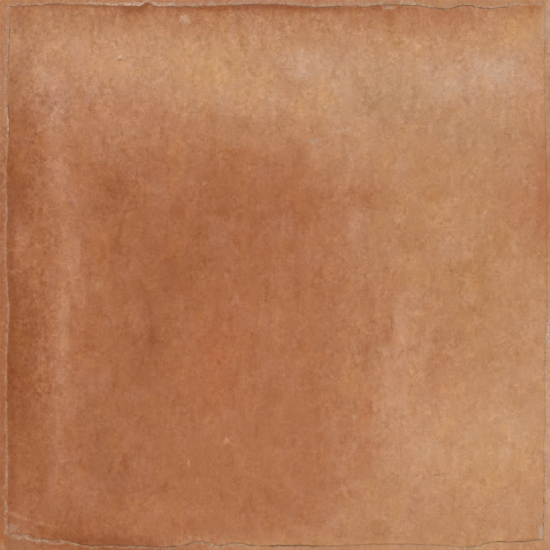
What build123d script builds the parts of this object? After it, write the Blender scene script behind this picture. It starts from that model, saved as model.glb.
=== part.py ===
"""Square cotto-look floor tile, pressed and fired in one piece. Millimetres, +Z up.

The tile lies on its back with the walking face up. The origin is the centre of the outline,
on the plane of the ribs that are bedded in the adhesive.
"""

import os

from build123d import *

# Outline and thickness
side = 300.0  # edge to edge, at the upright band of the sides
thickness = 10.0  # back ribs to walking face
corner_radius = 1.5  # upright corners of the outline

# Edge section, from the back up
foot_height = 3.5  # lower part of the sides, drawn in towards the back
foot_draft = 7.0  # degrees that the foot leans in, for release from the mould
back_arris = 0.4  # rounding of the edge round the back
rim_arris = 0.4  # rounding of the outer top edge

# Worn rim round the walking face
rim_drop = 0.6  # the rim lies this far below the walking face
shoulder_run = 0.7  # width in plan of the worn slope between the face and the rim

# Keyed back: square recesses that leave a lattice of ribs
recess_side = 24.0  # square recess, at its mouth
recess_corner = 2.0  # cut across each of its corners
recess_depth = 0.8
recess_draft = 20.0  # degrees that the recess walls lean
rib_width = 4.0  # between two recesses
back_margin = 10.0  # least plain border round the lattice

# Foot of the worn shoulder, as pairs of the share of the side and the inset from the edge in
# millimetres. The near and far edges run along +X, the left and right edges along +Y.
far_edge = [
    (0.055, 2.9), (0.1, 2.1), (0.165, 2.6), (0.21, 3.0), (0.39, 3.1), (0.53, 2.7), (0.59, 4.0), (0.625, 3.2),
    (0.66, 3.6), (0.7, 2.5), (0.745, 2.7), (0.79, 4.3), (0.82, 4.4), (0.845, 2.8), (0.875, 4.1), (0.93, 3.3),
]
near_edge = [
    (0.03, 8.4), (0.05, 8.2), (0.07, 6.2), (0.11, 5.7), (0.15, 2.9), (0.18, 2.3), (0.25, 2.3), (0.33, 2.2),
    (0.362, 4.4), (0.39, 3.1), (0.41, 2.7), (0.427, 4.0), (0.445, 3.1), (0.5, 2.3), (0.6, 2.0), (0.65, 2.9),
    (0.73, 3.1), (0.8, 2.4), (0.87, 2.4), (0.9, 4.4), (0.94, 4.2), (0.965, 5.0),
]
left_edge = [
    (0.1, 4.2), (0.2, 4.3), (0.29, 3.8), (0.39, 4.4), (0.435, 5.3), (0.47, 4.5), (0.59, 3.7), (0.62, 4.1),
    (0.67, 3.3), (0.78, 4.9), (0.82, 3.8), (0.9, 4.6),
]
right_edge = [
    (0.05, 3.5), (0.15, 3.0), (0.18, 3.3), (0.23, 2.5), (0.29, 3.0), (0.36, 2.4), (0.435, 1.9), (0.55, 1.6),
    (0.73, 2.2), (0.83, 3.0), (0.94, 3.0),
]

# Where the worn edges meet at the corners, as insets from the side edge and from the far or near edge
far_left_corner = (4.8, 3.3)
far_right_corner = (3.2, 3.1)
near_right_corner = (3.4, 5.7)
near_left_corner = (4.1, 8.7)

half = side / 2
rim_height = thickness - rim_drop
recess_pitch = recess_side + rib_width
recess_count = int((side - 2 * back_margin + rib_width) // recess_pitch)


def shoulder_section(height, run):
    """The worn face's outline at a height, set in by run from the foot of its shoulder."""

    def station(share):
        return share * side - half

    def level(inset):
        return half - inset - run

    far_left = (-level(far_left_corner[0]), level(far_left_corner[1]))
    far_right = (level(far_right_corner[0]), level(far_right_corner[1]))
    near_right = (level(near_right_corner[0]), -level(near_right_corner[1]))
    near_left = (-level(near_left_corner[0]), -level(near_left_corner[1]))
    far = [(station(share), level(inset)) for share, inset in far_edge]
    near = [(station(share), -level(inset)) for share, inset in near_edge]
    left = [(-level(inset), station(share)) for share, inset in left_edge]
    right = [(level(inset), station(share)) for share, inset in right_edge]
    with BuildSketch(Plane.XY.offset(height)) as section:
        with BuildLine():
            Spline(near_left, *near, near_right)
            Spline(near_right, *right, far_right)
            Spline(far_right, *reversed(far), far_left)
            Spline(far_left, *reversed(left), near_left)
        make_face()
    return section.sketch


with BuildPart() as tile:
    # Upright band of the sides, from the foot to the worn rim
    with BuildSketch(Plane.XY.offset(foot_height)) as outline:
        RectangleRounded(side, side, corner_radius)
    extrude(amount=rim_height - foot_height)
    outer_edges = tile.edges().group_by(Axis.Z)[-1]
    fillet(outer_edges, rim_arris)

    # Foot of the sides, drawn in towards the back
    extrude(outline.sketch, amount=-foot_height, taper=foot_draft)
    back_edges = tile.edges().group_by(Axis.Z)[0]
    fillet(back_edges, back_arris)

    # Walking face on its worn shoulder
    shoulder_foot = shoulder_section(rim_height, 0)
    shoulder_top = shoulder_section(thickness, shoulder_run)
    loft([shoulder_foot, shoulder_top], ruled=True)

    # Keyed back
    with BuildSketch(Plane.XY) as lattice:
        with GridLocations(recess_pitch, recess_pitch, recess_count, recess_count):
            Rectangle(recess_side, recess_side)
        chamfer(lattice.vertices(), recess_corner)
    extrude(amount=recess_depth, taper=recess_draft, mode=Mode.SUBTRACT)

tile.part.label = "tile"
os.makedirs("parts", exist_ok=True)
export_step(tile.part, "parts/tile.step")
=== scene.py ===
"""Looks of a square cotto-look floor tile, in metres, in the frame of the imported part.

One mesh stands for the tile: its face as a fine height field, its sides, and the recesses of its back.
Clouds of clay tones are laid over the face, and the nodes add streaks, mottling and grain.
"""

import math

import bmesh
import bpy
import numpy as np
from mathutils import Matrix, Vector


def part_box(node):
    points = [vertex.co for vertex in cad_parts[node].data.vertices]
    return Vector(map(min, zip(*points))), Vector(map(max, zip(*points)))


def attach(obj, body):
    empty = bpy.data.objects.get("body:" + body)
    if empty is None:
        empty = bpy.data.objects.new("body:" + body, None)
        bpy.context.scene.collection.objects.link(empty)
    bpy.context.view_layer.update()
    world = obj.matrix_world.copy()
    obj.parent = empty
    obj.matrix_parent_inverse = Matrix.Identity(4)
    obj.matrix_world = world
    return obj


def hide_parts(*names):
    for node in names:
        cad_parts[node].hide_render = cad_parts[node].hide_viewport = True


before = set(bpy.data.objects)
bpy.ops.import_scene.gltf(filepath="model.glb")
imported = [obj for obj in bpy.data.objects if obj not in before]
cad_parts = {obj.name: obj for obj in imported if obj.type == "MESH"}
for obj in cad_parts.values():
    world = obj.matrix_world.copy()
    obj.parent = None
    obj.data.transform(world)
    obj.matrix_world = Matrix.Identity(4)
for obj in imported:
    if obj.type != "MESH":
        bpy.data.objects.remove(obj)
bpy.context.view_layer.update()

MM = 0.001

# The tile's sizes, from its solid
box_low, box_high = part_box("tile")
HALF = (box_high.x - box_low.x) / 2
TOP = box_high.z

# Sizes of its edges, as in the part's source
CORNER_RADIUS = 1.5 * MM
RIM_ARRIS = 0.4 * MM
RIM_DROP = 0.6 * MM
SHOULDER_RUN = 0.7 * MM
FOOT_HEIGHT = 3.5 * MM
FOOT_DRAFT = math.radians(7)
BACK_ARRIS = 0.4 * MM
RECESS_DEPTH = 0.8 * MM
RIM = TOP - RIM_DROP

# Reading the solid's mesh: decimals to which two points are one, and how far off a level a point may lie
WELD_DECIMALS = 7
LEVEL_SLACK = 0.02 * MM

# Spacing of the face's grid: close lines near the edges, wider ones between them
FINE_BAND = 10 * MM
FINE_STEP = 0.36 * MM
WIDE_LINES = 210

# Fine relief of the face
LINE_WANDER = 0.25 * MM  # ragged run of the worn line
WANDER_LENGTH = 2.4 * MM
SHOULDER_WIDER = 1.3  # mean run of the worn shoulder, as a share of the solid's
SHOULDER_VARIES = 0.5  # and how far that share goes up and down
FACE_SWELL = 0.05 * MM  # long gentle unevenness of the face
RIM_SWELL = 0.06 * MM  # unevenness of the rim
CRUST_RISE = 0.12 * MM  # height of the crust beside the worn line
CRUST_PLACE = -0.3  # its middle, in millimetres inside the worn line
CRUST_REACH = 0.6  # its half width, in millimetres
SEAM_DEPTH = 0.15 * MM  # depth of the worn line's dark seam
SEAM_PLACE = 0.55  # its middle, in millimetres inside the worn line
SEAM_REACH = 0.35  # its half width, in millimetres
SHARP_ANGLE = math.radians(55)  # edges that turn by more are shaded sharp

# Depth of the grain that the materials add
FACE_GRAIN = 0.05 * MM
BODY_GRAIN = 0.1 * MM
FLOOR_GRAIN = 0.02 * MM

# Light, camera and floor
WORLD_LIGHT = 0.6
SUN_LIGHT = 1.75
SUN_SPREAD = math.radians(35)
SUN_TURN = (math.radians(-40), math.radians(-18), 0)
LENS = 200.0  # millimetres, and so is the sensor
SENSOR = 36.0
FRAME_TRIM = 0.9 * MM  # the photo shows this much less than the tile's whole width
FLOOR_REACH = 4.0

# The dull gloss: its strength in the shader, and the light that it adds to every tone
GLOSS = 0.3
GLOSS_VEIL = 0.016

# Tones as they look in plain light, in steps up to full, and the curve of those steps
FULL = 255
CURVE_SHIFT = 0.055
CURVE_GAMMA = 2.4
TONES = {
    "tan": (187, 135, 97),
    "clay": (177, 113, 77),
    "brown": (162, 97, 61),
    # A dark clay tone, also laid as painted shade just inside the worn line
    "burnt_and_shade": (146, 82, 48),
    "ember": (181, 100, 61),
    "sand": (197, 149, 113),
    "rose": (201, 149, 117),
    "bloom": (203, 169, 147),
    "ochre": (206, 156, 103),
    "lilac": (181, 127, 101),
    "umber": (161, 106, 74),
    "moss": (181, 138, 103),
    "gold": (183, 129, 85),
    "ash": (184, 168, 152),
    "crust": (198, 167, 144),
    "silt": (160, 123, 98),
    "seam": (110, 82, 62),
    "lime": (222, 196, 176),
    "peach": (216, 165, 130),
    "rust": (158, 92, 54),
    "floor": (230, 230, 228),
    "floor_shade": (228, 228, 226),
}

BORDER_WIDTH = 4  # half the width, in millimetres, over which a large cloud frays out
BORDER_PART = 3  # a small cloud frays out over its reach divided by this
CLOUD_DRIFT = 3 * MM  # how far the clouds' outlines wander
EDGE_SOFTNESS = 0.3  # of the edge tones' borders, in millimetres
EDGE_FADE = 0.4  # share of its depth over which an edge tone fades out inwards

# Clouds of tone on the face: tone, place from the centre, reach across and along, lean in degrees,
# firmness of the edge and strength. Lengths are in millimetres, and later clouds lie over earlier ones.
CLOUDS = [
    # Pale ground towards the far edge
    ("sand", -10, 112, 180, 32, 0, 5, 0.64),
    ("sand", 44, 82, 44, 20, 0, 3, 0.48),
    ("rose", -102, 112, 40, 18, 0, 3, 0.42),
    ("bloom", 28, 114, 22, 11, 0, 2, 0.31),
    ("bloom", 60, 112, 34, 16, 0, 2, 0.13),
    ("moss", 63, 94, 24, 15, 0, 2, 0.66),
    ("lilac", 58, 85, 18, 7, 0, 2, 0.36),
    ("bloom", 122, 111, 15, 12, 0, 2, 0.72),
    ("bloom", 96, 103, 14, 10, 0, 2, 0.50),
    ("lilac", 108, 99, 8, 6, 0, 2, 0.35),
    ("ochre", -35, 112, 14, 13, 0, 2, 0.55),
    ("ochre", -18, 98, 12, 8, 0, 2, 0.25),
    ("rose", -24, 93, 22, 7, 0, 2, 0.25),
    ("ochre", 26, 92, 7, 18, 0, 2, 0.26),
    ("bloom", 30, 85, 7, 9, 0, 2, 0.14),
    ("ochre", 68, 124, 10, 5, 0, 2, 0.35),
    ("ochre", 118, 125, 14, 5, 0, 2, 0.24),
    ("moss", 108, 76, 28, 16, 0, 2, 0.55),
    ("clay", -58, 136, 86, 7, 0, 2, 0.35),
    ("brown", -25, 149, 164, 8.5, 0, 2, 0.84),
    ("brown", 0, 145, 14, 6, 0, 2, 0.38),
    ("clay", 40, 138, 34, 7, 0, 2, 0.30),
    ("clay", 98, 139, 28, 8, 0, 2, 0.60),
    ("ochre", 132, 134, 10, 8, 0, 2, 0.62),
    ("gold", 63, 133, 8, 9, 0, 2, 0.74),
    ("brown", -138, 139, 9, 7, 0, 2, 0.40),
    ("umber", -139, 104, 11, 32, 0, 3, 0.50),
    ("clay", -109, 98, 14, 24, 0, 2, 0.28),
    ("lilac", 41, 122, 7, 5, 0, 2, 0.45),
    ("gold", 15, 127, 9, 4, 0, 2, 0.55),
    ("bloom", 11, 117, 9, 3, 0, 2, 0.26),
    ("bloom", 12, 109, 8, 2.5, 0, 2, 0.30),
    ("clay", 6, 98, 3, 7, 0, 2, 0.35),
    ("lilac", -88, 88, 34, 14, 0, 3, 0.50),
    ("clay", -97, 84, 9, 16, 0, 2, 0.38),
    ("ember", -72, 88, 24, 11, 0, 2, 0.25),
    ("clay", -28, 82, 34, 9, 0, 2, 0.40),
    # Dark mass in the middle
    ("clay", -58, -34, 98, 111, 0, 14, 1.00),
    ("sand", 40, 70, 20, 12, 0, 3, 0.40),
    ("tan", 26, 61, 20, 11, -25, 3, 0.60),
    ("tan", -8, 72, 24, 8, -12, 2, 0.28),
    ("clay", 43, 56, 9, 5, -25, 2, 0.36),
    ("clay", 48, 44, 16, 8, 0, 2, 0.30),
    ("brown", -55, 16, 64, 44, -8, 4, 0.44),
    ("brown", -68, -50, 40, 60, 0, 4, 0.35),
    ("brown", 12, 38, 20, 14, 0, 3, 0.36),
    ("brown", 50, 40, 11, 8, 0, 3, 0.35),
    ("brown", 46, 34, 9, 6, 0, 2, 0.28),
    ("tan", 0, -12, 9, 12, 0, 2, 0.20),
    ("burnt_and_shade", -88, 48, 10, 11, 0, 2, 0.40),
    ("burnt_and_shade", -28, 46, 13, 18, 0, 2, 0.13),
    ("burnt_and_shade", -57, 4, 18, 26, 0, 2, 0.14),
    ("burnt_and_shade", -68, -38, 9, 28, -8, 2, 0.40),
    ("burnt_and_shade", -86, -112, 12, 15, 0, 2, 0.32),
    ("burnt_and_shade", 12, -12, 6, 12, 0, 2, 0.15),
    ("burnt_and_shade", 13, -84, 6, 10, 0, 2, 0.12),
    ("clay", -16, -50, 36, 46, -12, 6, 0.40),
    ("brown", -28, -136, 26, 11, 0, 2, 0.36),
    ("brown", -70, -110, 14, 10, 0, 2, 0.26),
    ("brown", 6, -126, 28, 8, -10, 2, 0.22),
    ("ember", -31, -42, 13, 32, -6, 3, 0.33),
    ("umber", -96, -92, 12, 24, 0, 2, 0.50),
    ("rose", -43, -37, 1.8, 33, -22, 3, 0.16),
    ("lilac", -66, 46, 6, 8, 0, 2, 0.40),
    ("rose", -42, -82, 16, 7, 0, 2, 0.16),
    ("lilac", 42, 20, 7, 12, 0, 2, 0.60),
    ("rose", 41, 24, 4, 9, 0, 2, 0.25),
    ("brown", 50, -42, 6, 9, 0, 2, 0.20),
    ("clay", 58, -40, 26, 76, 0, 3, 0.36),
    ("clay", 88, -40, 20, 26, 0, 2, 0.25),
    ("ember", 48, -100, 13, 36, 0, 2, 0.16),
    # Small patches in the middle
    ("tan", -52, 53, 6, 7, 0, 3, 0.25),
    ("lilac", -59, 35, 5, 8, 0, 3, 0.25),
    ("sand", -97, -6, 6, 2.5, 0, 2, 0.35),
    ("bloom", -112, 9, 4, 8, 0, 2, 0.30),
    ("lilac", -4, 57, 8, 3, 0, 2, 0.35),
    ("brown", 12, 62, 2.5, 6, 0, 3, 0.40),
    ("burnt_and_shade", 61, -30, 2.5, 9, 4, 3, 0.30),
    ("burnt_and_shade", 49, -39, 7, 5, 30, 2, 0.38),
    ("ember", 50, -73, 4, 13, -8, 3, 0.35),
    ("bloom", 60, -42, 5, 3, 0, 2, 0.40),
    # Right-hand side
    ("gold", 85, 48, 20, 24, 0, 2, 0.40),
    ("clay", 134, 36, 16, 24, 0, 2, 0.45),
    ("sand", 104, 30, 11, 12, 0, 2, 0.45),
    ("gold", 114, -3, 26, 18, 0, 2, 0.72),
    ("gold", 118, -34, 12, 10, 0, 2, 0.32),
    ("clay", 60, -12, 9, 9, 0, 2, 0.30),
    ("bloom", 120, 61, 12, 8, 0, 2, 0.13),
    ("sand", 83, -22, 1.5, 30, 0, 3, 0.25),
    ("rose", 70, -26, 6, 18, 0, 6, 0.58),
    ("rose", 67, -60, 12, 18, 0, 6, 0.76),
    ("rose", 75, -90, 19, 22, 12, 3, 0.62),
    ("sand", 114, -84, 36, 32, 0, 3, 0.80),
    ("ember", 93, -64, 15, 16, 0, 2, 0.18),
    ("ochre", 118, -98, 34, 24, 0, 2, 0.32),
    ("sand", 142, -42, 14, 44, 0, 2, 0.62),
    ("gold", 138, -44, 10, 20, 0, 2, 0.20),
    ("gold", 128, -62, 20, 14, 0, 2, 0.15),
    ("clay", 147, 50, 8, 30, 0, 3, 0.40),
    ("rose", 143, 100, 7, 22, 0, 2, 0.45),
    ("tan", 46, -134, 24, 14, 12, 3, 0.30),
    ("rose", 44, -132, 26, 10, 0, 2, 0.10),
    ("tan", 20, -145, 44, 5, 0, 3, 0.55),
    ("clay", 49, -144, 9, 6, 0, 2, 0.32),
    ("sand", 128, -132, 20, 14, 0, 2, 0.35),
    ("bloom", 83, -97, 6, 5, 0, 2, 0.14),
    ("bloom", 124, -78, 8, 6, 0, 2, 0.12),
    ("bloom", 126, -95, 6, 4, 0, 2, 0.12),
    ("bloom", 135, -53, 7, 6, 0, 2, 0.16),
    # Left-hand side
    ("clay", -126, -20, 22, 112, 0, 5, 0.75),
    ("clay", -70, -138, 62, 9, 0, 4, 0.85),
    ("brown", -120, -136, 34, 11, 0, 3, 0.70),
    ("lilac", -124, 92, 18, 14, 0, 2, 0.60),
    ("lilac", -113, 36, 12, 16, 0, 2, 0.35),
    ("rose", -120, 68, 6, 26, 0, 3, 0.45),
    ("bloom", -121.5, 84, 4.5, 9, 0, 3, 0.30),
    ("bloom", -126, 108, 5, 6, 0, 2, 0.25),
    ("rose", -112, 8, 8, 16, 0, 2, 0.40),
    ("rose", -108, -12, 6, 8, 0, 2, 0.32),
    ("rose", -114, -28, 3.5, 28, 0, 3, 0.46),
    ("rose", -118, -78, 3, 36, 0, 3, 0.40),
    ("brown", -102, -86, 10, 44, 0, 2, 0.38),
    ("brown", -137, 78, 13, 17, 0, 2, 0.80),
    ("burnt_and_shade", -141, 46, 12, 20, 0, 3, 0.75),
    ("burnt_and_shade", -142, -45, 14, 52, 0, 4, 0.75),
    ("burnt_and_shade", -131, -48, 6, 16, 0, 2, 0.28),
    ("brown", -134, -110, 17, 28, 0, 3, 0.72),
    ("burnt_and_shade", -96, -144, 24, 6, 0, 2, 0.60),
]


def value_noise(x, y, across, along, seed):
    """Smooth noise between -1 and 1 over the tile, with cells of the given lengths."""
    u = (x + HALF) / across + 1
    v = (y + HALF) / along + 1
    shape = (int(v.max()) + 2, int(u.max()) + 2)
    knots = np.random.default_rng(seed).uniform(-1, 1, shape)
    i, j = np.floor(v).astype(int), np.floor(u).astype(int)
    s, t = v - i, u - j
    s, t = s * s * (3 - 2 * s), t * t * (3 - 2 * t)
    lower = knots[i, j] * (1 - t) + knots[i, j + 1] * t
    upper = knots[i + 1, j] * (1 - t) + knots[i + 1, j + 1] * t
    return lower * (1 - s) + upper * s


def rough_noise(x, y, across, along, seed, octaves=3):
    """Several layers of smooth noise, each half as long and half as strong as the last."""
    layers = [value_noise(x, y, across / 2**k, along / 2**k, seed + k) / 2**k for k in range(octaves)]
    return sum(layers)


def smooth_step(value, start, end):
    """A smooth step from 0 to 1 while the value goes from start to end."""
    t = np.clip((value - start) / (end - start), 0, 1)
    return t * t * (3 - 2 * t)


# Each edge: name, the axis that it faces along, and which way
EDGES = [("far", 1, 1), ("near", 1, -1), ("left", 0, -1), ("right", 0, 1)]

# The worn line's look along each edge: strength of its dark seam and of the pale crust beside it
LINE_LOOK = {"far": (0.60, 0.95), "near": (0.45, 0.50), "left": (0.05, 0.72), "right": (0.12, 0.58)}

# Stretches where it differs: edge, middle and half length in millimetres, change of seam and of crust
LINE_MARKS = [
    ("far", -120, 20, 0.05, -0.30),
    ("far", 45, 30, 0.15, 0.05),
    ("far", 96, 12, 0.40, -0.40),
    ("far", 112, 10, 0.10, -0.30),
    ("far", 138, 6, -0.60, -0.40),
    ("near", -130, 20, -0.35, 0.65),
    ("near", -78, 28, -0.02, 0.22),
    ("near", -28, 16, -0.15, 0.40),
    ("near", 10, 16, 0.30, 0.00),
    ("near", 64, 40, -0.30, -0.05),
    ("near", 106, 9, -0.10, 0.35),
    ("near", 128, 12, 0.00, -0.20),
    ("left", 85, 11, 0.60, 0.15),
    ("left", 126, 20, 0.52, 0.20),
    ("left", -125, 18, 0.00, 0.20),
    ("right", -35, 22, 0.05, 0.40),
    ("right", -120, 25, 0.15, 0.20),
    ("right", 35, 45, -0.12, -0.30),
]

# White bits of the crust: edge, middle, half length and strength
LINE_WHITES = [
    ("far", -92, 7, 0.8),
    ("far", -76, 6, 1.0),
    ("far", -61, 6, 0.8),
    ("far", 73, 5, 0.5),
    ("far", 112, 7, 0.6),
    ("near", -136, 9, 0.45),
    ("left", 83, 8, 0.5),
    ("right", -32, 7, 0.6),
    ("right", -66, 9, 0.4),
    ("right", -85, 36, 0.3),
]

# Places where the worn line runs further out than in the solid: edge, middle, half length and shift
LINE_SHIFTS = [("far", -69.3, 2.4, 2.0)]

# Tones along the edges, over the clouds: edge, middle and half length, from and to which depth inside
# the worn line (less than zero on the rim), tone and strength. The dark bands just inside the worn
# line are painted shade.
EDGE_TONES = [
    ("far", 0, 200, -9, 0.3, "tan", 0.60),
    ("far", -20, 95, -9, 0.3, "lilac", 0.40),
    ("far", 90, 55, -9, 0.3, "moss", 0.40),
    # Painted shade: dark bands just inside the worn line along the far edge
    ("far", -78, 8, 0.4, 5.0, "burnt_and_shade", 0.75),
    ("far", -5, 48, 0.4, 3.2, "burnt_and_shade", 0.60),
    ("far", -60, 90, 0.4, 1.5, "burnt_and_shade", 0.55),
    ("far", 55, 14, 0.4, 3.0, "rust", 0.40),
    ("near", -135, 14, -9, 0.0, "umber", 0.80),
    ("near", -85, 40, -9, 0.3, "brown", 0.80),
    ("near", 10, 50, -9, 0.3, "tan", 0.40),
    ("near", 100, 50, -9, 0.3, "sand", 0.40),
    # Painted shade: a dark band just inside the worn line along the near edge
    ("near", -95, 35, 0.4, 5.0, "burnt_and_shade", 0.50),
    ("near", 30, 60, 0.4, 2.0, "ochre", 0.25),
    ("near", 12, 16, 0.4, 3.0, "gold", 0.55),
    ("near", 108, 15, -1.0, 1.5, "ochre", 0.45),
    ("left", -40, 110, -9, 0.3, "brown", 0.65),
    ("left", -30, 45, -9, 0.3, "clay", 0.45),
    ("left", 115, 40, -9, 0.3, "lilac", 0.60),
    ("left", 115, 40, -9, 0.3, "clay", 0.30),
    # Painted shade: a dark band just inside the worn line along the left edge
    ("left", -20, 110, 0.5, 4.5, "burnt_and_shade", 0.66),
    ("right", -75, 70, -9, 0.3, "sand", 1.00),
    ("right", -75, 70, -9, 0.3, "bloom", 0.12),
    ("right", 110, 50, -9, 0.3, "moss", 0.55),
    ("right", 45, 30, 0.2, 6.0, "clay", 0.45),
    ("right", 143, 12, -9, 2.0, "bloom", 0.40),
]

# Thin washes over the clouds: change of colour, length in millimetres, drawn out along Y by, from and to
# which level of the noise they come in, and where in the noise they lie
WASHES = [
    ((2, 4, 7), 15, 1.5, 0.02, 0.12, 41.0),
    ((3, 2, -2), 12, 1.3, 0.03, 0.12, 43.0),
    ((-4, -6, -7), 9, 1.7, 0.04, 0.13, 47.0),
    ((4, 5, 6), 7, 2.0, 0.05, 0.14, 53.0),
]

# How gritty the clay looks: place from the centre, reach across and along, and change from the mean
GRITS = [
    (-10, 118, 190, 38, 0.42),
    (-122, 0, 20, 110, 0.42),
    (-84, 44, 15, 20, 0.35),
    (95, -40, 40, 90, 0.10),
    (-30, -60, 70, 70, -0.06),
    (-8, -102, 50, 42, -0.15),
]

# Small marks on the face: tone, place, half length across and along, lean in degrees and strength
MARKS = [
    ("lime", -49.1, 139.1, 3.6, 3.0, 0, 0.45),
    ("lime", -84.0, 118.9, 1.7, 1.5, 0, 0.60),
    ("umber", -84.2, 117.0, 1.2, 0.8, 0, 0.70),
    ("ash", 61.9, 145.4, 3.4, 1.1, 0, 0.70),
    ("rust", 62.0, 140.0, 3.5, 5.5, 0, 0.35),
    ("rust", 139.0, 145.0, 4.4, 2.2, 0, 0.42),
    ("lilac", 7.0, 112.0, 5.0, 0.8, 0, 0.60),
    ("ash", 21.0, 72.8, 4.0, 1.6, 8, 0.28),
    ("bloom", 36.5, 79.0, 4.5, 1.4, 10, 0.40),
    ("lilac", -140.5, 13.6, 7.0, 1.0, 0, 0.45),
    ("lilac", -140.5, 2.2, 7.0, 1.3, 0, 0.45),
    ("sand", -139.8, -131.2, 8.0, 1.2, -22, 0.38),
    ("sand", -126.0, -135.3, 10.5, 1.0, -13, 0.34),
    ("ash", -143.0, -138.0, 4.0, 3.5, 0, 0.35),
    ("peach", -26.2, -90.5, 1.5, 3.0, -35, 0.42),
    ("peach", -47.0, -102.0, 1.0, 2.4, 0, 0.42),
    ("ash", -38.5, 49.5, 2.6, 0.7, 45, 0.35),
    ("seam", -89.5, -25.6, 0.7, 3.2, 12, 0.35),
    ("umber", 88.5, -108.5, 2.4, 0.8, 20, 0.50),
    ("umber", 42.0, -82.0, 1.2, 2.0, -20, 0.45),
    ("bloom", 43.5, -77.0, 1.8, 1.5, 0, 0.36),
    ("ochre", 122.5, -144.0, 3.4, 1.6, 0, 0.80),
    ("ash", 144.5, -140.0, 1.6, 5.0, 0, 0.62),
]


def cad_triangles():
    """The solid's welded points and triangles."""
    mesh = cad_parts["tile"].data
    points = np.array([v.co for v in mesh.vertices])
    points, weld = np.unique(points.round(WELD_DECIMALS), axis=0, return_inverse=True)
    corners = np.array([list(p.vertices) for p in mesh.polygons])
    return points, weld.ravel()[corners]


def worn_lines(points):
    """The foot of the worn shoulder along each edge: stations and insets, read from the solid."""
    inset = HALF - np.abs(points[:, :2]).max(1)
    at_rim = np.abs(points[:, 2] - RIM) < LEVEL_SLACK
    foot = points[at_rim & (inset > 2 * RIM_ARRIS)]
    lines = {}
    for name, axis, way in EDGES:
        mine = foot[way * foot[:, axis] >= np.abs(foot[:, 1 - axis])]
        mine = mine[np.argsort(mine[:, 1 - axis])]
        lines[name] = mine[:, 1 - axis], HALF - way * mine[:, axis]
    return lines


def along_edge(x, y, edge, name, middle, reach):
    """Share of a stretch of one edge, about its middle, at each place."""
    side = [known for known, _, _ in EDGES].index(name)
    along = x if EDGES[side][1] == 1 else y
    return (edge == side) * np.exp(-(((along / MM - middle) / reach) ** 4))


def worn_depth(x, y, lines):
    """How far a place lies inside the worn line, less than zero on the rim, and its nearest edge."""
    place = (x, y)
    depths = []
    for seed, (name, axis, way) in enumerate(EDGES):
        along = place[1 - axis]
        ragged = LINE_WANDER * value_noise(along, 0 * along, WANDER_LENGTH, HALF, 40 + seed)
        depths.append(HALF - way * place[axis] - np.interp(along, *lines[name]) - ragged)
    depth, edge = np.min(depths, 0), np.argmin(depths, 0)
    for name, middle, reach, shift in LINE_SHIFTS:
        depth = depth + shift * MM * along_edge(x, y, edge, name, middle, reach)
    return depth, edge


def line_strengths(x, y, edge):
    """How strong the worn line's dark seam, pale crust and white bits are, by the nearest edge."""
    seam, crust = np.array([LINE_LOOK[name] for name, _, _ in EDGES])[edge].T
    white = np.zeros_like(x)
    for name, middle, reach, seam_change, crust_change in LINE_MARKS:
        share = along_edge(x, y, edge, name, middle, reach)
        seam = seam + seam_change * share
        crust = crust + crust_change * share
    for name, middle, reach, strength in LINE_WHITES:
        white += strength * along_edge(x, y, edge, name, middle, reach)
    return {"seam": np.clip(seam, 0, 1), "crust": np.clip(crust, 0, 1.5), "white": white}


def grit_strength(x, y):
    """How gritty the clay looks at each place, with 1 as its mean."""
    grit = np.ones_like(x)
    for cx, cy, across, along, change in GRITS:
        grit += change * np.exp(-(((x / MM - cx) / across) ** 4) - ((y / MM - cy) / along) ** 4)
    return grit


def grid_lines():
    """Stations of the face's grid along one axis."""
    turn = np.radians([0, 30, 60])
    arris = RIM_ARRIS * (1 - np.cos(turn))
    outer = np.concatenate([arris, np.arange(RIM_ARRIS, FINE_BAND, FINE_STEP)])
    middle = np.linspace(FINE_BAND - HALF, HALF - FINE_BAND, WIDE_LINES)
    return np.concatenate([outer - HALF, middle, (HALF - outer)[::-1]])


def round_corners(x, y):
    """Moves the places in the four corner squares so that the outline has its corner radius."""
    core = HALF - CORNER_RADIUS
    a, b = np.abs(x) - core, np.abs(y) - core
    corner = (a > 0) & (b > 0)
    shrink = np.where(corner, np.maximum(a, b) / np.maximum(np.hypot(a, b), 1e-12), 1)
    return (
        np.where(corner, np.sign(x) * (core + a * shrink), x),
        np.where(corner, np.sign(y) * (core + b * shrink), y),
    )


def face_heights(x, y, depth, strengths):
    """Height of the face, its worn shoulder with crust and seam, its rim and the rounded outer edge."""
    inset = np.maximum(HALF - np.maximum(np.abs(x), np.abs(y)), 0)
    gap = np.maximum(RIM_ARRIS - inset, 0)
    arris_drop = RIM_ARRIS - np.sqrt(RIM_ARRIS**2 - gap**2)
    share = SHOULDER_WIDER + SHOULDER_VARIES * value_noise(x, y, 6 * MM, 6 * MM, 11)
    run = SHOULDER_RUN * share
    on_face = smooth_step(depth, 0, run)
    face_swell = FACE_SWELL * (1 + rough_noise(x, y, 38 * MM, 55 * MM, 12) / 1.75)
    rim_swell = RIM_SWELL * (1 + value_noise(x, y, 3 * MM, 3 * MM, 17))
    swell = on_face * face_swell + (1 - on_face) * rim_swell
    lumps = 0.6 + 0.4 * value_noise(x, y, 1.1 * MM, 1.1 * MM, 19)
    crust = strengths["crust"] * lumps * np.exp(-(((depth / MM - CRUST_PLACE) / CRUST_REACH) ** 2))
    seam = strengths["seam"] * np.exp(-(((depth / MM - SEAM_PLACE) / SEAM_REACH) ** 2))
    height = RIM + RIM_DROP * on_face - arris_drop - swell + CRUST_RISE * crust - SEAM_DEPTH * seam
    return np.minimum(height, TOP)


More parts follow.
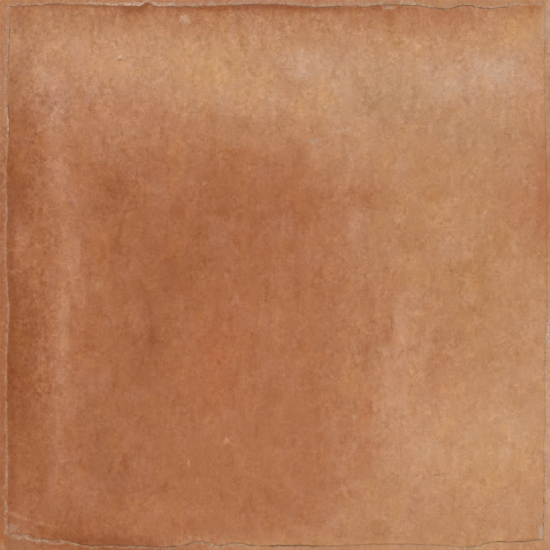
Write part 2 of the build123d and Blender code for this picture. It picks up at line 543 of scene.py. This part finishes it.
def paint(x, y, depth, edge, spread, seed):
    """The face's colour from its clouds and edge tones, with painted shade just inside the worn line.
    Spread draws the clouds' borders in or out.
    """
    drift_x = CLOUD_DRIFT * rough_noise(x, y, 16 * MM, 30 * MM, seed, 4)
    drift_y = CLOUD_DRIFT * rough_noise(x, y, 14 * MM, 22 * MM, seed + 10, 4)
    colour = np.tile(np.array(TONES["tan"], float), (x.size, 1))
    for tone, cx, cy, across, along, lean, firm, strength in CLOUDS:
        turn = math.radians(lean)
        dx, dy = x + drift_x - cx * MM, y + drift_y - cy * MM
        wide, long = (size + spread * min(BORDER_WIDTH, size / BORDER_PART) for size in (across, along))
        sideways = (dx * math.cos(turn) + dy * math.sin(turn)) / (wide * MM)
        lengthways = (dy * math.cos(turn) - dx * math.sin(turn)) / (long * MM)
        weight = strength * np.exp(-np.abs(sideways) ** firm - np.abs(lengthways) ** firm)
        colour += weight[:, None] * (np.array(TONES[tone]) - colour)
    for name, middle, reach, start, end, tone, strength in EDGE_TONES:
        weight = strength * along_edge(x + drift_x, y + drift_y, edge, name, middle, reach)
        soft = EDGE_SOFTNESS + EDGE_FADE * max(end, 0)
        weight *= smooth_step(depth / MM, start - EDGE_SOFTNESS, start + EDGE_SOFTNESS)
        weight *= 1 - smooth_step(depth / MM, end - soft, end + soft)
        colour += weight[:, None] * (np.array(TONES[tone]) - colour)
    return colour / FULL


def side_rings():
    """The sides' section below the rounded outer edge, as insets and heights, down to the back."""
    lean = math.tan(FOOT_DRAFT)
    trim = BACK_ARRIS * math.tan((math.pi / 2 - FOOT_DRAFT) / 2)
    back_inset = FOOT_HEIGHT * lean + trim
    rings = [(0, z) for z in np.linspace(RIM - RIM_ARRIS, FOOT_HEIGHT, 6)[1:]]
    rings.append((FOOT_HEIGHT / 2 * lean, FOOT_HEIGHT / 2))
    for turn in np.linspace(FOOT_DRAFT, math.pi / 2, 5):
        inset = back_inset - BACK_ARRIS * math.cos(turn)
        rings.append((inset, BACK_ARRIS * (1 - math.sin(turn))))
    return rings


def close_back(mesh, points, triangles):
    """Adds the solid's recesses to the open back, and fills the ribs between them."""
    bm = bmesh.new()
    bm.from_mesh(mesh)
    corners = points[triangles]
    inset = HALF - np.abs(corners[:, :, :2]).max((1, 2))
    height = corners[:, :, 2].max(1)
    of_recess = (height > LEVEL_SLACK) & (height < RECESS_DEPTH + LEVEL_SLACK)
    recess = triangles[of_recess & (inset > FINE_BAND / 2)]
    used, recess = np.unique(recess, return_inverse=True)
    verts = [bm.verts.new(p) for p in points[used]]
    for a, b, c in recess.reshape(-1, 3):
        bm.faces.new((verts[a], verts[b], verts[c])).material_index = 1
    border = [e for e in bm.edges if e.is_boundary]
    ribs = bmesh.ops.triangle_fill(bm, use_beauty=True, edges=border, normal=(0, 0, -1))
    for face in ribs["geom"]:
        if isinstance(face, bmesh.types.BMFace):
            face.material_index = 1
    bmesh.ops.recalc_face_normals(bm, faces=bm.faces)
    bm.to_mesh(mesh)
    bm.free()


def build_tile():
    """The whole tile as one closed mesh, with the face's colour and worn line as attributes."""
    points, triangles = cad_triangles()
    lines = grid_lines()
    count = len(lines)
    x, y = (axis.ravel() for axis in np.meshgrid(lines, lines))
    depth, edge = worn_depth(x, y, worn_lines(points))
    strengths = line_strengths(x, y, edge)
    z = face_heights(x, y, depth, strengths)
    index = np.arange(count * count).reshape(count, count)
    quads = np.stack([index[:-1, :-1], index[:-1, 1:], index[1:, 1:], index[1:, :-1]], -1).reshape(-1, 4)
    top = np.stack([*round_corners(x, y), z], -1)

    loop = np.concatenate([index[0, :-1], index[:-1, -1], index[-1, :0:-1], index[:0:-1, 0]])
    outline = top[loop, :2]
    core = np.clip(outline, CORNER_RADIUS - HALF, HALF - CORNER_RADIUS)
    outward = (outline - core) / CORNER_RADIUS
    verts, faces = [top], [quads]
    upper = loop
    for k, (inset, height) in enumerate(side_rings()):
        ring = np.column_stack([outline - outward * inset, np.full(len(loop), height)])
        lower = count * count + k * len(loop) + np.arange(len(loop))
        faces.append(np.stack([lower, np.roll(lower, -1), np.roll(upper, -1), upper], -1))
        verts.append(ring)
        upper = lower

    mesh = bpy.data.meshes.new("square_tile")
    faces = np.concatenate(faces)
    mesh.from_pydata(np.concatenate(verts).tolist(), [], faces.tolist())
    on_side = np.arange(len(faces)) >= len(quads)
    mesh.polygons.foreach_set("material_index", on_side.astype(np.int32))

    # Both colours carry the painted shade just inside the worn line along with the clay's tones
    for name, spread, seed in (("clay_and_shade_in", -1, 21), ("clay_and_shade_out", 1, 61)):
        colour = np.ones((len(mesh.vertices), 4), np.float32)
        colour[: len(top), :3] = paint(x, y, depth, edge, spread, seed)
        mesh.attributes.new(name, "FLOAT_COLOR", "POINT").data.foreach_set("color", colour.ravel())
    values_by_name = {
        "worn": np.clip(depth / MM, -10, 20),
        "along": np.where(edge < 2, x, y) / MM,
        "grit": grit_strength(x, y),
    }
    for name, values in (strengths | values_by_name).items():
        padded = np.zeros(len(mesh.vertices), np.float32)
        padded[: len(top)] = values
        mesh.attributes.new(name, "FLOAT", "POINT").data.foreach_set("value", padded)

    close_back(mesh, points, triangles)
    mesh.polygons.foreach_set("use_smooth", np.ones(len(mesh.polygons), bool))
    mesh.set_sharp_from_angle(angle=SHARP_ANGLE)
    tile = bpy.data.objects.new("square_tile", mesh)
    bpy.context.scene.collection.objects.link(tile)
    return tile


class Nodes:
    """A material's nodes, made with their settings and inputs in one call."""

    def __init__(self, name):
        self.material = bpy.data.materials.new(name)
        self.material.use_nodes = True
        self.tree = self.material.node_tree
        self.tree.nodes.clear()

    def add(self, kind, inputs=(), **settings):
        """A node of a kind. An input is a constant, or a socket to link to."""
        node = self.tree.nodes.new("ShaderNode" + kind)
        for name, value in settings.items():
            setattr(node, name, value)
        for name, value in dict(inputs).items():
            if isinstance(value, bpy.types.NodeSocket):
                self.tree.links.new(value, node.inputs[name])
            else:
                node.inputs[name].default_value = value
        return node

    def math(self, operation, first, second=0.0):
        """One or two values, put together by an operation."""
        return self.add("Math", {0: first, 1: second}, operation=operation).outputs[0]

    def ramp(self, value, start, end, low=0.0, high=1.0):
        """A smooth step from low to high while the value goes from start to end."""
        inputs = {"Value": value, "From Min": start, "From Max": end, "To Min": low, "To Max": high}
        return self.add("MapRange", inputs, interpolation_type="SMOOTHSTEP").outputs["Result"]

    def total(self, *parts, base=0.0):
        """Base plus each value times its weight."""
        result = base
        for value, weight in parts:
            result = self.add("Math", {0: value, 1: weight, 2: result}, operation="MULTIPLY_ADD").outputs[0]
        return result

    def product(self, first, *others):
        """All the values multiplied."""
        for other in others:
            first = self.math("MULTIPLY", first, other)
        return first

    def noise(self, place, length, detail=0.0, stretch=1.0, roughness=0.5, offset=0.0, distortion=0.0):
        """Noise about zero, with spots of the given length, drawn out along Y by stretch."""
        scale = (1 / length, 1 / length / stretch, 1 / length)
        inputs = {0: place, 1: scale, 2: (offset, offset + 0.5, offset)}
        at = self.add("VectorMath", inputs, operation="MULTIPLY_ADD").outputs[0]
        inputs = {"Vector": at, "Scale": 1.0, "Detail": detail, "Roughness": roughness}
        inputs["Distortion"] = distortion
        return self.math("SUBTRACT", self.add("TexNoise", inputs).outputs["Fac"], 0.5)

    def shifted(self, colour, amount, change):
        """The colour plus the amount times a change, which is in the same steps as the tones."""
        inputs = {0: amount, 1: [step / FULL for step in change], 2: colour}
        return self.add("VectorMath", inputs, operation="MULTIPLY_ADD").outputs[0]

    def clay_colour(self, tone):
        """A tone as the clay's own linear colour, without the light that its dull gloss adds."""
        whole = 1 + CURVE_SHIFT
        inputs = {0: tone, 1: (1 / whole,) * 3, 2: (CURVE_SHIFT / whole,) * 3}
        share = self.add("VectorMath", inputs, operation="MULTIPLY_ADD").outputs[0]
        light = self.add("Gamma", {"Color": share, "Gamma": CURVE_GAMMA}).outputs[0]
        return self.add("VectorMath", {0: light, 1: (GLOSS_VEIL,) * 3}, operation="SUBTRACT").outputs[0]

    def specks(self, place, spacing, radius, strength):
        """Sparse round specks, some strong and most faint."""
        cells = self.add("TexVoronoi", {"Vector": place, "Scale": 1 / spacing})
        near = self.ramp(cells.outputs["Distance"], 0.4 * radius / spacing, radius / spacing, strength, 0.0)
        chance = self.add("SeparateColor", {"Color": cells.outputs["Color"]}).outputs["Red"]
        return self.math("MULTIPLY", near, self.ramp(chance, 0.55, 1.0))

    def mark(self, place, ragged, x, y, across, along, lean):
        """A small patch with a ragged border: one at its middle, none outside."""
        inputs = {"Vector": place, "Location": (x * MM, y * MM, TOP)}
        inputs["Rotation"] = (0, 0, math.radians(lean))
        inputs["Scale"] = (across * MM, along * MM, 1)
        at = self.add("Mapping", inputs, vector_type="TEXTURE").outputs[0]
        reach = self.add("VectorMath", {0: at}, operation="LENGTH").outputs["Value"]
        return self.ramp(self.math("ADD", reach, ragged), 0.35, 1.15, 1.0, 0.0)

    def mix(self, share, first, second):
        """The first colour with a share of the second over it. Sockets 6 and 7 are the node's colours."""
        return self.add("Mix", {0: share, 6: first, 7: second}, data_type="RGBA").outputs[2]

    def attribute(self, name, output):
        """One output of an attribute of the mesh."""
        return self.add("Attribute", attribute_name=name).outputs[output]

    def place(self):
        """The place on the piece, in metres."""
        return self.add("TexCoord").outputs["Object"]

    def finish(self, colour, roughness, height, depth):
        """The shader, with its bump, and the output."""
        bump = self.add("Bump", {"Height": height, "Distance": depth, "Strength": 1.0}).outputs[0]
        inputs = {"Base Color": self.clay_colour(colour), "Roughness": roughness, "Normal": bump}
        inputs["Specular IOR Level"] = GLOSS
        shader = self.add("BsdfPrincipled", inputs).outputs[0]
        self.add("OutputMaterial", {"Surface": shader})
        return self.material


def rgba(tone):
    """A tone as a colour socket takes it."""
    return (*(step / FULL for step in TONES[tone]), 1.0)


def clay_look(n, place):
    """The colour of the clay, from its clouds to its specks, and the noises that shape its relief too."""
    border = n.ramp(n.noise(place, 3.2 * MM, 4.0, stretch=1.6, roughness=0.85, offset=13.0), -0.09, 0.09)
    # These painted colours include painted shade just inside the worn line
    colour = n.mix(border, n.attribute("clay_and_shade_in", "Color"), n.attribute("clay_and_shade_out", "Color"))
    pale = n.ramp(n.add("SeparateColor", {"Color": colour}).outputs["Green"], 0.40, 0.57)

    for change, length, stretch, start, end, offset in WASHES:
        spots = n.noise(place, length * MM, 4.0, stretch, roughness=0.6, offset=offset, distortion=0.6)
        colour = n.shifted(colour, n.ramp(spots, start, end), change)

    patch = n.ramp(n.noise(place, 9 * MM, 2.0, offset=17.0), -0.2, 0.2, 0.2, 1.8)
    mottle = n.noise(place, 9 * MM, 3.0, stretch=1.3, roughness=0.7)
    fine = n.noise(place, 2.2 * MM, 1.0, roughness=0.8, offset=19.0)
    grain = n.noise(place, 0.7 * MM, 1.0, roughness=1.0)
    streak = n.noise(place, 4 * MM, 3.0, stretch=7.0, roughness=0.8)
    shade = n.total((mottle, 20.0), (streak, 12.0), (grain, 26.0), (n.math("MULTIPLY", fine, patch), 25.0))
    grit = n.attribute("grit", "Fac")
    shade = n.math("MULTIPLY", shade, grit)
    colour = n.shifted(colour, shade, (1, 1, 1))
    warmth = n.noise(place, 7 * MM, 3.0, roughness=0.9, offset=3.0)
    warmth = n.math("MULTIPLY", warmth, n.ramp(pale, 0.0, 1.0, 2.0, 15.0))
    colour = n.shifted(colour, warmth, (0.3, -0.2, -1.0))
    tinge = n.noise(place, 5 * MM, 3.0, roughness=1.0, offset=23.0)
    colour = n.shifted(colour, n.math("MULTIPLY", tinge, n.ramp(pale, 0.0, 1.0, 3.0, 9.0)), (-1, 0.8, -0.3))
    flecks = n.ramp(n.noise(place, 1.9 * MM, 2.0, offset=5.0), 0.10, 0.24)
    flecks = n.product(flecks, patch, n.ramp(pale, 0.0, 1.0, 0.06, 0.25))
    colour = n.mix(flecks, colour, rgba("peach"))
    colour = n.mix(n.specks(place, 7 * MM, 0.4 * MM, 0.5), colour, rgba("lime"))
    dust = n.math("MULTIPLY", n.specks(place, 2.0 * MM, 0.4 * MM, 0.4), n.ramp(grit, 1.0, 1.4))
    return n.mix(dust, colour, rgba("bloom")), mottle, fine, grain


def line_look(n, place, colour):
    """The colour with the worn line's crust, white bits and dark seam over it, and the crust's share."""
    depth = n.attribute("worn", "Fac")
    trail = n.add("CombineXYZ", {"X": depth, "Y": n.attribute("along", "Fac")}).outputs[0]
    worn = n.total((n.noise(place, 2.5 * MM, 3.0, roughness=0.7), 1.6), base=depth)
    bulk = n.attribute("crust", "Fac")
    thick = n.noise(trail, 3.0, 3.0, stretch=1.5, roughness=0.7, offset=31.0)
    outer = n.ramp(n.total((thick, 5.0), (bulk, 2.2), base=worn), 0.1, 1.3)
    flakes = n.ramp(n.noise(trail, 1.5, 3.0, stretch=4.0, roughness=0.8, offset=11.0), -0.18, 0.12)
    band = n.product(outer, n.ramp(worn, 0.2, 0.7, 1.0, 0.0), flakes)
    crust = n.math("MULTIPLY", band, n.ramp(bulk, 0.0, 0.9, 0.0, 0.9))
    crumbs = n.ramp(n.noise(place, 1.3 * MM, 2.0, roughness=0.9, offset=37.0), -0.17, 0.17)
    colour = n.mix(crust, colour, n.mix(crumbs, rgba("silt"), rgba("crust")))
    white = n.product(band, n.attribute("white", "Fac"), crumbs)
    colour = n.mix(white, colour, rgba("lime"))
    gaps = n.noise(trail, 1.4, 3.0, stretch=4.0, roughness=0.7, offset=9.0)
    cut = n.attribute("seam", "Fac")
    dashes = n.ramp(n.total((cut, 0.35), base=gaps), 0.12, 0.26, 0.0, 0.85)
    width = n.ramp(n.noise(trail, 2.0, 2.0, stretch=2.0, offset=33.0), -0.2, 0.2, 0.12, 0.48)
    width = n.total((cut, 0.32), base=width)
    off_line = n.math("ABSOLUTE", n.math("SUBTRACT", worn, SEAM_PLACE))
    seam = n.math("MULTIPLY", n.ramp(off_line, 0.05, width, 1.0, 0.0), dashes)
    return n.mix(seam, colour, rgba("seam")), crust


def face_material():
    """The walking face: its clay, the small marks on it, and the worn line round it."""
    n = Nodes("cotto_face")
    place = n.place()
    colour, mottle, fine, grain = clay_look(n, place)
    ragged = n.math("MULTIPLY", n.noise(place, 1.6 * MM, 2.0, roughness=0.9, offset=29.0), 3.5)
    for tone, x, y, across, along, lean, strength in MARKS:
        share = n.math("MULTIPLY", n.mark(place, ragged, x, y, across, along, lean), strength)
        colour = n.mix(share, colour, rgba(tone))
    colour, crust = line_look(n, place, colour)
    roughness = n.total((mottle, 0.5), (crust, 0.2), base=0.68)
    height = n.total((mottle, 0.8), (fine, 0.5), (grain, 0.4))
    return n.finish(colour, roughness, height, FACE_GRAIN)


def body_material():
    """The plain fired clay of the sides and the back."""
    n = Nodes("cotto_body")
    place = n.place()
    grain = n.noise(place, 0.8 * MM, 2.0)
    mottle = n.noise(place, 7 * MM, 3.0)
    share = n.ramp(n.total((grain, 0.6), base=mottle), -0.4, 0.4)
    colour = n.mix(share, rgba("clay"), rgba("sand"))
    roughness = n.total((mottle, 0.2), base=0.8)
    return n.finish(colour, roughness, n.math("ADD", grain, mottle), BODY_GRAIN)


def floor_material():
    """The plain pale floor, hardly mottled."""
    n = Nodes("pale_floor")
    place = n.place()
    mottle = n.noise(place, 60 * MM, 3.0)
    colour = n.mix(n.ramp(mottle, -0.3, 0.3), rgba("floor_shade"), rgba("floor"))
    return n.finish(colour, 0.7, mottle, FLOOR_GRAIN)


def build_floor():
    """A wide square that the tile lies on."""
    signs = [(-1, -1), (1, -1), (1, 1), (-1, 1)]
    corners = [(u * FLOOR_REACH, v * FLOOR_REACH, box_low.z) for u, v in signs]
    mesh = bpy.data.meshes.new("floor")
    mesh.from_pydata(corners, [], [(0, 1, 2, 3)])
    mesh.materials.append(floor_material())
    floor = bpy.data.objects.new("floor", mesh)
    bpy.context.scene.collection.objects.link(floor)


def build_light():
    """Even light from all round, and a broad soft light from the far left."""
    world = bpy.data.worlds.new("studio")
    bpy.context.scene.world = world
    world.use_nodes = True
    background = world.node_tree.nodes["Background"]
    background.inputs["Color"].default_value = (1, 1, 1, 1)
    background.inputs["Strength"].default_value = WORLD_LIGHT
    sun = bpy.data.lights.new("softbox", "SUN")
    sun.energy = SUN_LIGHT
    sun.angle = SUN_SPREAD
    lamp = bpy.data.objects.new("softbox", sun)
    lamp.rotation_euler = SUN_TURN
    bpy.context.scene.collection.objects.link(lamp)


def build_camera():
    """Straight above the face, which fills the frame."""
    framed = 2 * HALF - FRAME_TRIM
    camera_data = bpy.data.cameras.new("camera")
    camera_data.lens = LENS
    camera_data.sensor_width = SENSOR
    camera = bpy.data.objects.new("camera", camera_data)
    camera.location = (0, 0, TOP + framed * LENS / SENSOR)
    bpy.context.scene.collection.objects.link(camera)
    bpy.context.scene.camera = camera


tile = build_tile()
tile.data.materials.append(face_material())
tile.data.materials.append(body_material())
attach(tile, "root")
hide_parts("tile")
build_floor()
build_light()
build_camera()
bpy.context.scene.view_settings.view_transform = "Standard"
